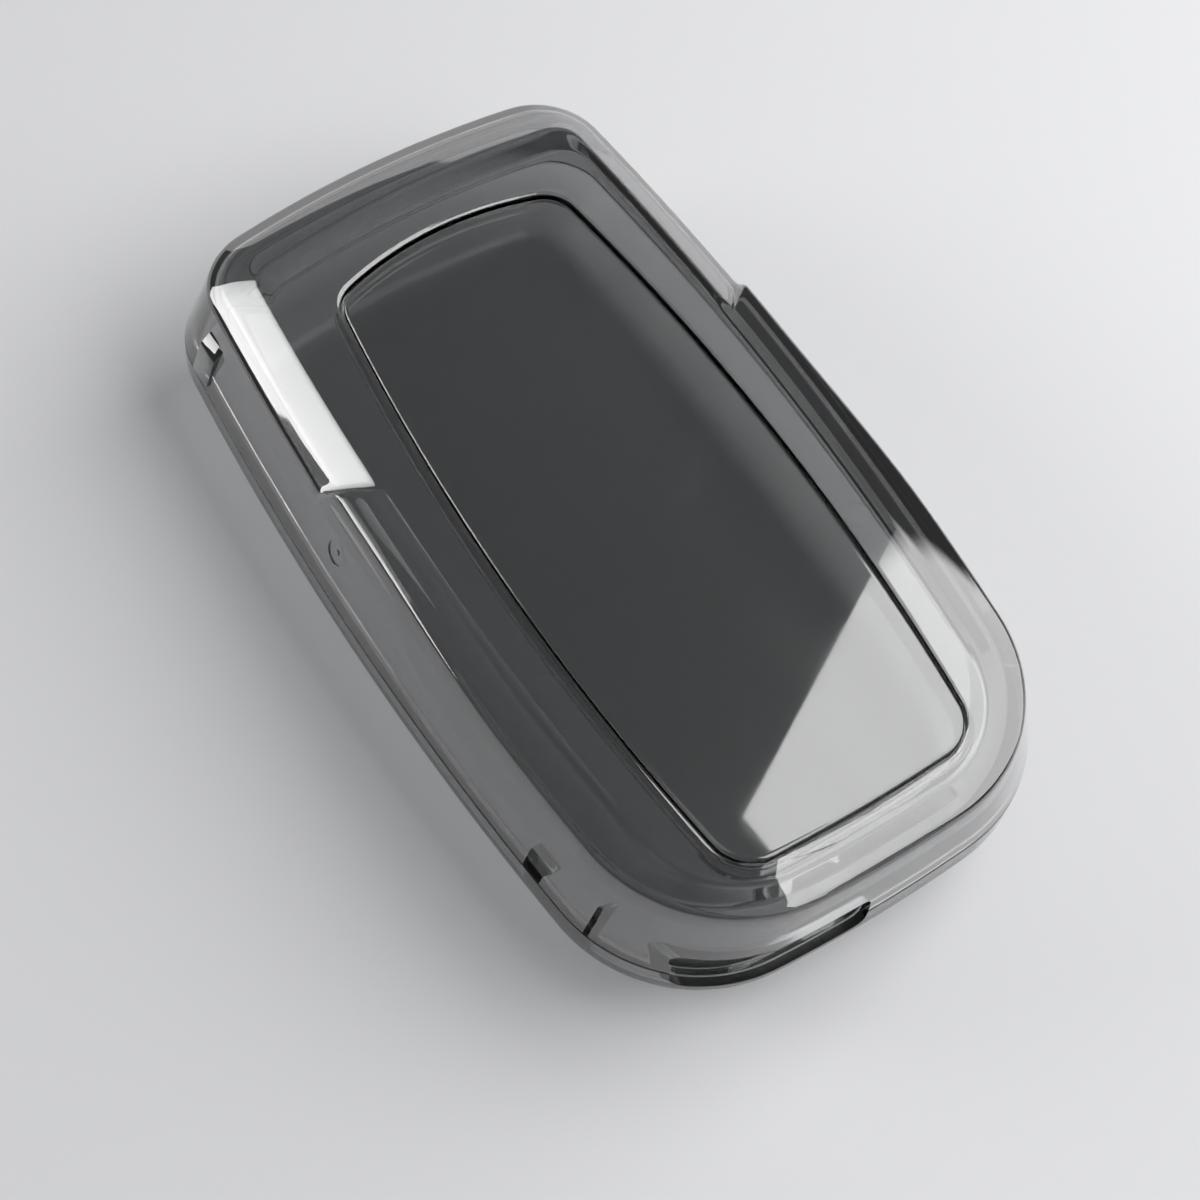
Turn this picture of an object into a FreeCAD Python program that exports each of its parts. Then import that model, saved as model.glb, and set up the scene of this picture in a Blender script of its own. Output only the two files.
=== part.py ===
"""Snap-on cover for a remote key: a rear tray, a front frame and a press panel in its window.

X runs across the cover, +Y runs to the end away from the key-ring slot and +Z runs from the
back of the closed cover to its front. The origin is under the middle of the back face.
"""
import FreeCAD
import Part
import Sketcher
import math
import os

# Driving dimensions, in millimetres.
SIZES = (
    # Outline of the belt, where the two halves meet and the cover is widest.
    ("belt_half_width", 23.7),
    ("belt_half_length", 40.0),
    ("belt_widest_place", 0.5),
    ("side_arc_radius", 300.0),
    ("top_arc_radius", 100.0),
    ("bottom_arc_radius", 140.0),
    ("belt_top_corner", 7.0),
    ("belt_bottom_corner", 14.0),
    # Rear tray, from its flat back up to the belt.
    ("rear_depth", 9.4),
    ("rear_band_margin", 0.2),
    ("rear_crest_height", 2.4),
    ("rear_crest_side_inset", 3.2),
    ("rear_crest_end_inset", 2.6),
    ("rear_crest_top_corner", 5.0),
    ("rear_crest_bottom_corner", 12.0),
    ("rear_back_side_inset", 6.0),
    ("rear_back_end_inset", 5.2),
    ("rear_back_top_corner", 3.0),
    ("rear_back_bottom_corner", 9.5),
    ("rear_back_wall", 1.4),
    ("rear_floor_margin", 0.5),
    # Front frame, from the belt up to its flat deck.
    ("crest_height", 8.4),
    ("crest_side_inset", 3.0),
    ("crest_top_inset", 1.34),
    ("crest_bottom_inset", 0.45),
    ("crest_top_corner", 4.8),
    ("crest_bottom_corner", 14.0),
    ("shoulder_rise", 0.5),
    ("shoulder_step", 1.2),
    ("deck_height", 9.6),
    ("deck_side_inset", 6.2),
    ("deck_top_inset", 6.2),
    ("deck_bottom_inset", 3.4),
    ("deck_top_corner", 2.4),
    ("deck_bottom_corner", 8.0),
    ("deck_wall", 1.4),
    ("ceiling_side_margin", 0.5),
    ("ceiling_top_margin", 2.4),
    ("ceiling_bottom_margin", 0.2),
    ("ceiling_bottom_corner", 7.5),
    # Wide bevel round the top end, which stops at a jog on each side.
    ("bevel_foot_drop", 2.2),
    ("bevel_overlap", 0.2),
    ("jog_setback", 27.0),
    ("jog_length", 3.6),
    ("jog_overlap", 0.5),
    # Tongue of the front frame in the rebate of the rear tray.
    ("wall", 1.6),
    ("skin", 0.8),
    ("tongue_height", 3.0),
    ("tongue_clearance", 0.15),
    ("tongue_end_clearance", 0.2),
    # Window of the frame and the press panel in it.
    ("panel_side_land", 4.0),
    ("panel_top_land", 5.6),
    ("panel_bottom_land", 1.5),
    ("panel_widest_drop", 6.1),
    ("panel_side_radius", 215.0),
    ("panel_top_radius", 31.0),
    ("panel_bottom_radius", 150.0),
    ("panel_corner", 3.0),
    ("panel_gap", 0.25),
    ("panel_edge_chamfer", 0.25),
    ("flange_width", 0.8),
    ("flange_thickness", 0.8),
    # Key-ring slot in the bottom end wall, off the middle.
    ("slot_offset", 9.4),
    ("slot_width", 16.4),
    ("slot_rise", 2.5),
    ("slot_drop", 2.1),
    ("slot_depth", 8.0),
    # Latch notch in each side wall, near the key-ring end.
    ("latch_setback", 17.9),
    ("notch_length", 3.0),
    ("notch_height", 2.7),
    ("barb_length", 0.85),
    ("barb_height", 0.45),
    ("latch_drop", 0.8),
    ("latch_length", 5.3),
    ("latch_slit", 0.5),
    ("latch_slit_height", 4.2),
    # Lugs outside the frame's left wall and its top end wall.
    ("lug_setback", 9.4),
    ("lug_length", 2.6),
    ("lug_height", 4.6),
    ("lug_inset", 1.8),
    ("end_lug_place", 14.3),
    ("end_lug_length", 2.2),
    ("end_lug_height", 5.6),
    ("end_lug_inset", 1.4),
    ("lug_root", 5.0),
    # One overrun for every cut.
    ("cut_overrun", 1.0),
)

# Shares of the sizes that they follow.
INNER_CREST_SHARE = 0.5
INNER_FOOT_SHARE = 0.6
HALF_SHARE = 0.5

# Closeness at which an edge counts as lying at a height.
LEVEL_TOLERANCE = 1e-4

ALIASES = {alias for alias, value in SIZES}

doc = FreeCAD.newDocument("key_cover")
sheet = doc.addObject("Spreadsheet::Sheet", "Sizes")
for row, (alias, value) in enumerate(SIZES, start=1):
    sheet.set(f"A{row}", alias)
    sheet.set(f"B{row}", str(value))
    sheet.setAlias(f"B{row}", alias)
doc.recompute()


def bind(expression):
    """Turn bare aliases in an expression into references to the sheet."""
    words = []
    for word in expression.replace("(", " ( ").replace(")", " ) ").split():
        words.append(f"Sizes.{word}" if word in ALIASES else word)
    return " ".join(words)


def size(expression):
    """Value of an expression in the sheet's names, for starting points of sketches."""
    return float(sheet.evalExpression(bind(expression)))


def origin_plane(body, role):
    """One of a body's own origin planes."""
    return next(item for item in body.Origin.OriginFeatures if item.Role == role)


def new_sketch(body, name, role, offset="0"):
    """Sketch on an origin plane of its body, lifted by an expression along the normal."""
    sketch = body.newObject("Sketcher::SketchObject", name)
    sketch.AttachmentSupport = [(origin_plane(body, role), "")]
    sketch.MapMode = "FlatFace"
    sketch.setExpression("AttachmentOffset.Base.z", bind(offset))
    return sketch


def constrain(sketch, expression, *arguments):
    """Add a dimension to a sketch and bind it to an expression."""
    index = sketch.addConstraint(Sketcher.Constraint(*arguments, size(expression)))
    sketch.setExpression(f"Constraints[{index}]", bind(expression))


def corner_centres(first, first_radius, second, second_radius):
    """The two points where two circles meet, the lower one first."""
    span = second - first
    along = (first_radius ** 2 - second_radius ** 2 + span.Length ** 2) / (2 * span.Length)
    across = math.sqrt(first_radius ** 2 - along ** 2)
    foot = first + span * (along / span.Length)
    side = FreeCAD.Vector(-span.y, span.x, 0) * (across / span.Length)
    return sorted((foot + side, foot - side), key=lambda point: point.y)


def outline(body, name, offset, shape):
    """Closed outline of eight tangent arcs, mirrored about the Y axis.

    The shape gives expressions for the half width, the reach to each end, the place of the
    widest point and the radii of the sides, the ends and the corners.
    """
    sketch = new_sketch(body, name, "XY_Plane", offset)
    number = {key: size(expression) for key, expression in shape.items()}
    side = FreeCAD.Vector(number["half_width"] - number["side"], number["widest"], 0)
    top = FreeCAD.Vector(0, number["top_reach"] - number["top"], 0)
    bottom = FreeCAD.Vector(0, number["bottom"] - number["bottom_reach"], 0)
    high = corner_centres(side, number["side"] - number["top_corner"],
                          top, number["top"] - number["top_corner"])[1]
    low = corner_centres(side, number["side"] - number["bottom_corner"],
                         bottom, number["bottom"] - number["bottom_corner"])[0]

    def mirrored(point):
        return FreeCAD.Vector(-point.x, point.y, 0)

    centres = (side, high, top, mirrored(high), mirrored(side), mirrored(low), bottom, low)
    kinds = ("side", "top_corner", "top", "top_corner",
             "side", "bottom_corner", "bottom", "bottom_corner")

    def heading(centre, other):
        return math.atan2(other.y - centre.y, other.x - centre.x)

    # Each large arc ends on the line from its centre through the centre of a corner.
    joints = (heading(side, high), heading(top, high), heading(top, mirrored(high)),
              heading(mirrored(side), mirrored(high)), heading(mirrored(side), mirrored(low)),
              heading(bottom, mirrored(low)), heading(bottom, low), heading(side, low))
    up = FreeCAD.Vector(0, 0, 1)
    for index, (centre, kind) in enumerate(zip(centres, kinds)):
        start = joints[index - 1]
        end = joints[index]
        while end < start:
            end += 2 * math.pi
        circle = Part.Circle(centre, up, number[kind])
        sketch.addGeometry(Part.ArcOfCircle(circle, start, end))
    for index in range(len(kinds)):
        following = (index + 1) % len(kinds)
        sketch.addConstraint(Sketcher.Constraint("Tangent", index, 2, following, 1))
    right, upper, left, lower = 0, 2, 4, 6
    for index, kind in ((right, "side"), (upper, "top"), (lower, "bottom"),
                        (1, "top_corner"), (7, "bottom_corner")):
        constrain(sketch, shape[kind], "Radius", index)
    for first, second in ((right, left), (1, 3), (7, 5)):
        sketch.addConstraint(Sketcher.Constraint("Equal", first, second))
    for index in (upper, lower):
        sketch.addConstraint(Sketcher.Constraint("PointOnObject", index, 3, -2))
    constrain(sketch, f"{shape['top_reach']} - ( {shape['top']} )", "DistanceY", -1, 1, upper, 3)
    constrain(sketch, f"{shape['bottom']} - ( {shape['bottom_reach']} )", "DistanceY", -1, 1, lower, 3)
    constrain(sketch, f"{shape['half_width']} - ( {shape['side']} )", "DistanceX", -1, 1, right, 3)
    constrain(sketch, f"{shape['side']} - ( {shape['half_width']} )", "DistanceX", -1, 1, left, 3)
    for index in (right, left):
        constrain(sketch, shape["widest"], "DistanceY", -1, 1, index, 3)
    return sketch


def belt_shape(side_inset, top_inset, bottom_inset, top_corner, bottom_corner):
    """Belt outline drawn in by an inset at the sides and at each end, with its own corners."""
    return {
        "half_width": f"belt_half_width - ( {side_inset} )",
        "top_reach": f"belt_half_length - ( {top_inset} )",
        "bottom_reach": f"belt_half_length - ( {bottom_inset} )",
        "widest": "belt_widest_place",
        "side": f"side_arc_radius - ( {side_inset} )",
        "top": f"top_arc_radius - ( {top_inset} )",
        "bottom": f"bottom_arc_radius - ( {bottom_inset} )",
        "top_corner": top_corner,
        "bottom_corner": bottom_corner,
    }


def even_shape(inset):
    """Belt outline drawn in evenly all round."""
    return belt_shape(inset, inset, inset,
                      f"belt_top_corner - ( {inset} )", f"belt_bottom_corner - ( {inset} )")


# Reach of the press panel from the middle of the cover, as the deck leaves it.
PANEL_HALF_WIDTH = "belt_half_width - deck_side_inset - panel_side_land"
PANEL_TOP_REACH = "belt_half_length - deck_top_inset - panel_top_land"
PANEL_BOTTOM_REACH = "belt_half_length - deck_bottom_inset - panel_bottom_land"


def panel_shape(growth):
    """Outline of the press panel, grown evenly all round."""
    return {
        "half_width": f"{PANEL_HALF_WIDTH} + {growth}",
        "top_reach": f"{PANEL_TOP_REACH} + {growth}",
        "bottom_reach": f"{PANEL_BOTTOM_REACH} + {growth}",
        "widest": "0 - panel_widest_drop",
        "side": f"panel_side_radius + {growth}",
        "top": f"panel_top_radius + {growth}",
        "bottom": f"panel_bottom_radius + {growth}",
        "top_corner": f"panel_corner + {growth}",
        "bottom_corner": f"panel_corner + {growth}",
    }


def loft(body, kind, name, sections):
    """Ruled loft through outlines given as name, height and shape."""
    sketches = [outline(body, f"{name}_{part}", height, shape) for part, height, shape in sections]
    feature = body.newObject(f"PartDesign::{kind}", name)
    feature.Profile = sketches[0]
    feature.Sections = sketches[1:]
    feature.Ruled = True
    doc.recompute()
    return feature


def polygon(sketch, points):
    """Closed polygon whose corners are placed by pairs of expressions."""
    places = [FreeCAD.Vector(size(across), size(along), 0) for across, along in points]
    for index, place in enumerate(places):
        following = places[(index + 1) % len(places)]
        sketch.addGeometry(Part.LineSegment(place, following))
    for index in range(len(places)):
        following = (index + 1) % len(places)
        sketch.addConstraint(Sketcher.Constraint("Coincident", index, 2, following, 1))
    for index, (across, along) in enumerate(points):
        constrain(sketch, across, "DistanceX", -1, 1, index, 1)
        constrain(sketch, along, "DistanceY", -1, 1, index, 1)


def extrude(body, kind, name, sketch, length, reverse=False, midplane=False):
    """Pad or pocket of a sketch by an expression, checked to change the solid."""
    before = 0 if body.Shape.isNull() else body.Shape.Volume
    feature = body.newObject(f"PartDesign::{kind}", name)
    feature.Profile = sketch
    feature.Reversed = reverse
    feature.Midplane = midplane
    feature.setExpression("Length", bind(length))
    doc.recompute()
    change = feature.Shape.Volume - before
    if change == 0 or (change > 0) != (kind == "Pad"):
        raise RuntimeError(f"{name} does not change the solid as it should")
    return feature


def panel_edges(feature, height):
    """Names of the edges at a height that go round the panel or its window."""
    margin = "panel_gap + panel_edge_chamfer"
    half_width = size(f"{PANEL_HALF_WIDTH} + {margin}")
    top_reach = size(f"{PANEL_TOP_REACH} + {margin}")
    bottom_reach = size(f"{PANEL_BOTTOM_REACH} + {margin}")
    names = []
    for index, edge in enumerate(feature.Shape.Edges, start=1):
        box = edge.BoundBox
        level = max(abs(box.ZMin - height), abs(box.ZMax - height)) < LEVEL_TOLERANCE
        across = max(-box.XMin, box.XMax) < half_width
        along = -bottom_reach < box.YMin and box.YMax < top_reach
        if level and across and along:
            names.append(f"Edge{index}")
    return names


def chamfer(body, name, feature):
    """Chamfer round the upper edge of the panel or of its window."""
    bevel = body.newObject("PartDesign::Chamfer", name)
    bevel.Base = (feature, panel_edges(feature, size(DECK)))
    bevel.setExpression("Size", bind("panel_edge_chamfer"))
    doc.recompute()
    return bevel


def new_body(name):
    """Empty body with its own label."""
    body = doc.addObject("PartDesign::Body", name)
    body.Label = name
    return body


# Levels of the closed cover.
CEILING = "rear_depth + deck_height - deck_wall"
DECK = "rear_depth + deck_height"
TONGUE_FOOT = "rear_depth - tongue_height"
REBATE_DEPTH = "tongue_height + tongue_end_clearance"
BAND_FOOT = f"rear_depth - ( {REBATE_DEPTH} ) - rear_band_margin"

# Foot of the wide bevel over the belt, on the wall below the crest.
FOOT = "( crest_height - bevel_foot_drop )"
SIDE_FOOT = f"crest_side_inset * {FOOT} / crest_height"
TOP_FOOT = f"crest_top_inset * {FOOT} / crest_height"
BOTTOM_FOOT = f"crest_bottom_inset * {FOOT} / crest_height"


def build_rear_shell():
    """Tray with a flat back, a band under the belt and a rebate for the tongue."""
    body = new_body("rear_shell")

    def crest(margin):
        end = f"rear_crest_end_inset + {margin}"
        return belt_shape(f"rear_crest_side_inset + {margin}", end, end,
                          "rear_crest_top_corner", "rear_crest_bottom_corner")

    def back(margin):
        end = f"rear_back_end_inset + {margin}"
        return belt_shape(f"rear_back_side_inset + {margin}", end, end,
                          "rear_back_top_corner", "rear_back_bottom_corner")

    loft(body, "AdditiveLoft", "rear_outer", (
        ("back", "0", back("0")),
        ("crest", "rear_crest_height", crest("0")),
        ("band", BAND_FOOT, even_shape("0")),
        ("belt", "rear_depth", even_shape("0")),
    ))
    loft(body, "SubtractiveLoft", "rear_cavity", (
        ("floor", "rear_back_wall", back("rear_floor_margin")),
        ("crest", "rear_crest_height + rear_back_wall", crest(f"wall * {INNER_CREST_SHARE}")),
        ("band", BAND_FOOT, even_shape("wall")),
        ("mouth", "rear_depth + cut_overrun", even_shape("wall")),
    ))
    rebate = outline(body, "rebate_outline", "rear_depth", even_shape("skin"))
    extrude(body, "Pocket", "tongue_rebate", rebate, REBATE_DEPTH)
    slot = new_sketch(body, "slot_outline", "XY_Plane", "rear_depth")
    polygon(slot, slot_corners())
    extrude(body, "Pocket", "keyring_notch", slot, "slot_drop")
    return body


def slot_corners():
    """Plan of the key-ring slot, from outside the end wall to inside it."""
    left = f"0 - slot_offset - slot_width * {HALF_SHARE}"
    right = f"0 - slot_offset + slot_width * {HALF_SHARE}"
    outside = "0 - belt_half_length - cut_overrun"
    inside = "0 - belt_half_length + slot_depth"
    return ((left, outside), (right, outside), (right, inside), (left, inside))


def build_lugs(body):
    """Blocks on the walls near the top end, cut to the wall by the cavity that follows."""
    middle = "belt_half_length - lug_setback"
    start = f"{middle} - lug_length * {HALF_SHARE}"
    finish = f"{middle} + lug_length * {HALF_SHARE}"
    outer = "lug_inset - belt_half_width"
    root = f"{outer} + lug_root"
    side = new_sketch(body, "lug_outline", "XY_Plane", "rear_depth")
    polygon(side, ((outer, start), (root, start), (root, finish), (outer, finish)))
    extrude(body, "Pad", "side_lug", side, "lug_height")
    left = f"0 - end_lug_place - end_lug_length * {HALF_SHARE}"
    right = f"0 - end_lug_place + end_lug_length * {HALF_SHARE}"
    face = "belt_half_length - end_lug_inset"
    foot = f"{face} - lug_root"
    end = new_sketch(body, "end_lug_outline", "XY_Plane", "rear_depth")
    polygon(end, ((left, foot), (right, foot), (right, face), (left, face)))
    extrude(body, "Pad", "end_lug", end, "end_lug_height")


def crest_shape(margin):
    """Outline of the frame's crest, drawn in by a margin."""
    return belt_shape(f"crest_side_inset + {margin}", f"crest_top_inset + {margin}",
                      f"crest_bottom_inset + {margin}", "crest_top_corner", "crest_bottom_corner")


def foot_shape(margin):
    """Outline of the frame's wall at the foot of the wide bevel, drawn in by a margin."""
    return belt_shape(f"{SIDE_FOOT} + {margin}", f"{TOP_FOOT} + {margin}", f"{BOTTOM_FOOT} + {margin}",
                      "crest_top_corner", "crest_bottom_corner")


def build_frame():
    """Front frame with its tongue, cavity, window, slot and latch notches."""
    body = new_body("front_frame")
    deck = belt_shape("deck_side_inset", "deck_top_inset", "deck_bottom_inset",
                      "deck_top_corner", "deck_bottom_corner")
    loft(body, "AdditiveLoft", "frame_outer", (
        ("belt", "rear_depth", even_shape("0")),
        ("crest", "rear_depth + crest_height", crest_shape("0")),
        ("shoulder", "rear_depth + crest_height + shoulder_rise", crest_shape("shoulder_step")),
        ("deck", DECK, deck),
    ))
    build_lugs(body)
    tongue = outline(body, "tongue_outline", "rear_depth", even_shape("skin + tongue_clearance"))
    extrude(body, "Pad", "tongue", tongue, "tongue_height", reverse=True)
    ceiling = belt_shape("deck_side_inset + ceiling_side_margin",
                         "deck_top_inset + ceiling_top_margin",
                         "deck_bottom_inset + ceiling_bottom_margin",
                         "deck_top_corner", "ceiling_bottom_corner")
    loft(body, "SubtractiveLoft", "frame_cavity", (
        ("mouth", f"{TONGUE_FOOT} - cut_overrun", even_shape("wall")),
        ("belt", "rear_depth", even_shape("wall")),
        ("foot", f"rear_depth + {FOOT} - deck_wall * {HALF_SHARE}", foot_shape(f"wall * {INNER_FOOT_SHARE}")),
        ("ceiling", CEILING, ceiling),
    ))
    window = outline(body, "window_outline", DECK, panel_shape("panel_gap"))
    opening = extrude(body, "Pocket", "window", window, "deck_wall + cut_overrun")
    chamfer(body, "window_chamfer", opening)
    slot = new_sketch(body, "slot_outline", "XY_Plane", "rear_depth + slot_rise")
    polygon(slot, slot_corners())
    extrude(body, "Pocket", "keyring_slot", slot, "slot_rise + slot_drop")
    build_latches(body)
    return body


def build_latches(body):
    """Notch, barb and slit that free a latch arm in both side walls."""
    sketch = new_sketch(body, "latch_outline", "YZ_Plane")
    below = f"{TONGUE_FOOT} - cut_overrun"
    near = "latch_setback - belt_half_length"
    far = f"{near} - notch_length"
    arm = f"{far} + barb_length"
    tip = f"{arm} - latch_length"
    end = f"{tip} - latch_slit"
    polygon(sketch, (
        (near, below),
        (near, "rear_depth + notch_height"),
        (far, "rear_depth + notch_height"),
        (arm, "rear_depth + barb_height"),
        (arm, "rear_depth - latch_drop"),
        (tip, "rear_depth - latch_drop"),
        (tip, "rear_depth + latch_slit_height"),
        (end, "rear_depth + latch_slit_height"),
        (end, below),
    ))
    reach = "( belt_half_width + cut_overrun ) * 2"
    extrude(body, "Pocket", "latches", sketch, reach, midplane=True)


def build_bevel_cutter():
    """What the wide bevel takes off the frame, on the top end's side of the jogs."""
    body = new_body("bevel_cutter")
    low = f"rear_depth + {FOOT} - cut_overrun"
    high = f"{DECK} + cut_overrun"
    outer = "belt_half_width + cut_overrun"
    crest = "belt_half_width - crest_side_inset"
    inner = "belt_half_width - deck_side_inset - jog_overlap"
    end = "belt_half_length + cut_overrun"
    jog_start = "belt_half_length - jog_setback"
    jog_finish = f"{jog_start} - jog_length"
    plan = new_sketch(body, "bevel_plan", "XY_Plane", low)
    polygon(plan, (
        (f"0 - ( {outer} )", jog_start),
        (f"0 - ( {crest} )", jog_start),
        (f"0 - ( {inner} )", jog_finish),
        (inner, jog_finish),
        (crest, jog_start),
        (outer, jog_start),
        (outer, end),
        (f"0 - ( {outer} )", end),
    ))
    rise = f"( deck_height - {FOOT} )"
    extrude(body, "Pad", "bevel_block", plan, f"{rise} + cut_overrun * 2")
    side_head = "deck_side_inset + bevel_overlap"
    top_head = "deck_top_inset + bevel_overlap"
    corner_foot = f"( belt_top_corner + ( crest_top_corner - belt_top_corner ) * {FOOT} / crest_height )"
    side_step = f"( {side_head} - {SIDE_FOOT} ) / {rise} * cut_overrun"
    top_step = f"( {top_head} - {TOP_FOOT} ) / {rise} * cut_overrun"
    corner_step = f"( {corner_foot} - deck_top_corner ) / {rise} * cut_overrun"
    side_low = f"{SIDE_FOOT} - {side_step}"
    below = belt_shape(side_low, f"{TOP_FOOT} - {top_step}", side_low,
                       f"{corner_foot} + {corner_step}", "belt_bottom_corner")
    side_high = f"{side_head} + {side_step}"
    above = belt_shape(side_high, f"{top_head} + {top_step}", side_high,
                       f"deck_top_corner - {corner_step}", "deck_bottom_corner")
    loft(body, "SubtractiveLoft", "bevel_core", (("below", low, below), ("above", high, above)))
    return body


def build_front_shell():
    """Frame with the wide bevel cut round its top end."""
    frame = build_frame()
    cutter = build_bevel_cutter()
    shell = doc.addObject("Part::Cut", "front_shell")
    shell.Base = frame
    shell.Tool = cutter
    shell.Refine = True
    shell.Label = "front_shell"
    doc.recompute()
    return shell


def build_front_panel():
    """Press panel that fills the window, with a flange under the frame."""
    body = new_body("front_panel")
    face = outline(body, "panel_outline", CEILING, panel_shape("0"))
    plate = extrude(body, "Pad", "panel_plate", face, "deck_wall")
    chamfer(body, "panel_chamfer", plate)
    flange = outline(body, "flange_outline", CEILING, panel_shape("flange_width"))
    extrude(body, "Pad", "panel_flange", flange, "flange_thickness", reverse=True)
    return body


pieces = (build_rear_shell(), build_front_shell(), build_front_panel())
doc.recompute()
for item in doc.Objects:
    if "Invalid" in item.State or "Error" in item.State:
        raise RuntimeError(f"{item.Label} failed: {item.State}")
for piece in pieces:
    if piece.Shape.isNull() or not piece.Shape.isValid() or len(piece.Shape.Solids) != 1:
        raise RuntimeError(f"{piece.Label} is not one valid solid")

os.makedirs("parts", exist_ok=True)
for piece in pieces:
    box = piece.Shape.BoundBox
    print(f"{piece.Label}: {piece.Shape.Volume:.1f} mm3,"
          f" {box.XLength:.2f} x {box.YLength:.2f} x {box.ZLength:.2f} mm")
    piece.Shape.exportStep(os.path.join("parts", f"{piece.Label}.step"))
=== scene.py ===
"""Looks of the key cover: smoked clear mouldings on a pale floor, from the photograph's side.

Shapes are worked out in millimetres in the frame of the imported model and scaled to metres.
"""

import math
from typing import NamedTuple

import bmesh
import bpy
import numpy as np
from mathutils import Matrix, Quaternion, Vector


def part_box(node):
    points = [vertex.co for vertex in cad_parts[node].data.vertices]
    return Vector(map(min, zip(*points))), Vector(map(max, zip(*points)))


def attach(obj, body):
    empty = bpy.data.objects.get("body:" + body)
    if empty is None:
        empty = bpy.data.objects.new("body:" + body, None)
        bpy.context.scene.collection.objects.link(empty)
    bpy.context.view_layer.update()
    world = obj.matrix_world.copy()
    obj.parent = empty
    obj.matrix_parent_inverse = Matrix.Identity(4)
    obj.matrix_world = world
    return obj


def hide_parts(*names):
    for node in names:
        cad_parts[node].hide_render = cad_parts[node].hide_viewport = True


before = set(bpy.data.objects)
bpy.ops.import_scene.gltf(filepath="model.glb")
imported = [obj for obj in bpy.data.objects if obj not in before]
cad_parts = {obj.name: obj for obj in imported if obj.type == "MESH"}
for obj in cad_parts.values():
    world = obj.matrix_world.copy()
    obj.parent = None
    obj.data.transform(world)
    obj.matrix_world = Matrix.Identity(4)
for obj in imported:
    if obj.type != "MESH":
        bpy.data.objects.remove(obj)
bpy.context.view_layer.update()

MILLIMETRE = 0.001


class Outline(NamedTuple):
    """Outline of eight tangent arcs, mirrored about the Y axis."""
    half_width: float
    top: float
    bottom: float
    widest: float
    side_radius: float
    top_radius: float
    bottom_radius: float
    top_corner: float
    bottom_corner: float


class Inset(NamedTuple):
    """Ring drawn in from the belt at the sides and at each end, its corners and its height."""
    side: float
    top: float
    bottom: float
    top_corner: float
    bottom_corner: float
    height: float


# Places that the frame gives.
shell_low, shell_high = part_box("front_shell")
_, rear_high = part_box("rear_shell")
panel_low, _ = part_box("front_panel")
BELT_HALF_WIDTH = shell_high.x / MILLIMETRE
BELT_HALF_LENGTH = shell_high.y / MILLIMETRE
BELT = rear_high.z / MILLIMETRE
DECK = shell_high.z / MILLIMETRE
TONGUE_FOOT = shell_low.z / MILLIMETRE
FLANGE_FOOT = panel_low.z / MILLIMETRE

# Outline of the belt, where the halves meet.
WIDEST_PLACE = 0.5
SIDE_RADIUS = 300.0
TOP_RADIUS = 100.0
BOTTOM_RADIUS = 140.0
BELT_TOP_CORNER = 7.0
BELT_BOTTOM_CORNER = 14.0

# Walls and the tongue joint.
WALL = 1.6
SKIN = 0.8
TONGUE_CLEARANCE = 0.15
REBATE_DEPTH = 3.2
DECK_WALL = 1.4
SEAM = 0.05

# Foot and deck edge of the front's bevel above, at and below the jog, in heights over the belt.
UPPER_BEVEL = (Inset(2.43, 0.7, 0.5, 6.6, 13.0, 6.2), Inset(6.1, 6.5, 3.6, 2.4, 7.5, 9.6))
JOG_BEVEL = (Inset(2.85, 1.3, 0.4, 5.2, 14.5, 8.45), Inset(5.9, 6.2, 3.5, 2.4, 14.0, 9.6))
LOWER_BEVEL = (Inset(2.2, 1.3, 0.33, 5.2, 14.5, 8.4), Inset(5.9, 6.2, 3.5, 2.4, 14.0, 9.6))
WALL_MIDDLE_SHARE = 0.9
WALL_STEP_SHARES = np.linspace(0.15, 0.85, 9)
SHOULDER_SHARE = 0.42
SHOULDER_BULGES = (0.1, 0.12, 0.12)

# Jog at which the wide bevel of the upper half ends, and the fall of the crest below it.
JOG_OUTER = 12.0
JOG_INNER = 9.8
JOG_BLEND = 3.4
WALL_BLEND = 9.0
CREST_FALL_START = 6.0
CREST_FALL_END = -16.0

# Inside of the front, in heights over the belt.
CEILING = Inset(6.6, 8.6, 3.4, 2.4, 9.0, DECK - DECK_WALL - BELT)
INNER_CREST = Inset(3.6, 1.9, 1.6, 5.2, 13.0, 6.0)

# Roundings of the front's profile.
TONGUE_TIP_ROUND = 0.2
TONGUE_ROOT_ROUND = 0.1
BELT_ROUND = 0.2
WALL_ROUND = 0.3
CREST_ROUND = 0.5
SHOULDER_ROUND = 2.2
DECK_EDGE_ROUND = 0.45
WINDOW_ROUND = 0.3
WINDOW_TOP_ROUND = 0.58
WINDOW_ROUND_START = -25.0
WINDOW_ROUND_END = 10.0
WINDOW_FOOT_ROUND = 0.1
CEILING_ROUND = 0.4
INNER_CREST_ROUND = 1.2
INNER_BELT_ROUND = 1.0

# Back and inside of the tray, in heights over the floor.
BACK_MIDDLE = Inset(9.0, 8.2, 8.2, 2.0, 8.0, 0.0)
BACK_EDGE = Inset(6.0, 5.2, 5.2, 3.0, 9.5, 0.0)
BACK_SLOPE = Inset(3.2, 2.6, 2.6, 5.0, 12.0, 2.4)
TRAY_SLOPE = Inset(4.0, 3.4, 3.4, 5.0, 12.0, 3.8)
TRAY_EDGE = Inset(6.5, 5.7, 5.7, 3.0, 9.5, 1.4)
TRAY_MIDDLE = Inset(9.5, 8.7, 8.7, 2.0, 8.0, 1.4)
BAND_DROP = 0.2

# Roundings of the tray's profile.
BACK_ROUND = 0.8
SLOPE_ROUND = 1.2
BAND_ROUND = 1.0
RIM_ROUND = 0.2
RIM_INSIDE_ROUND = 0.15
REBATE_ROUND = 0.1
LEDGE_ROUND = 0.3

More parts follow.
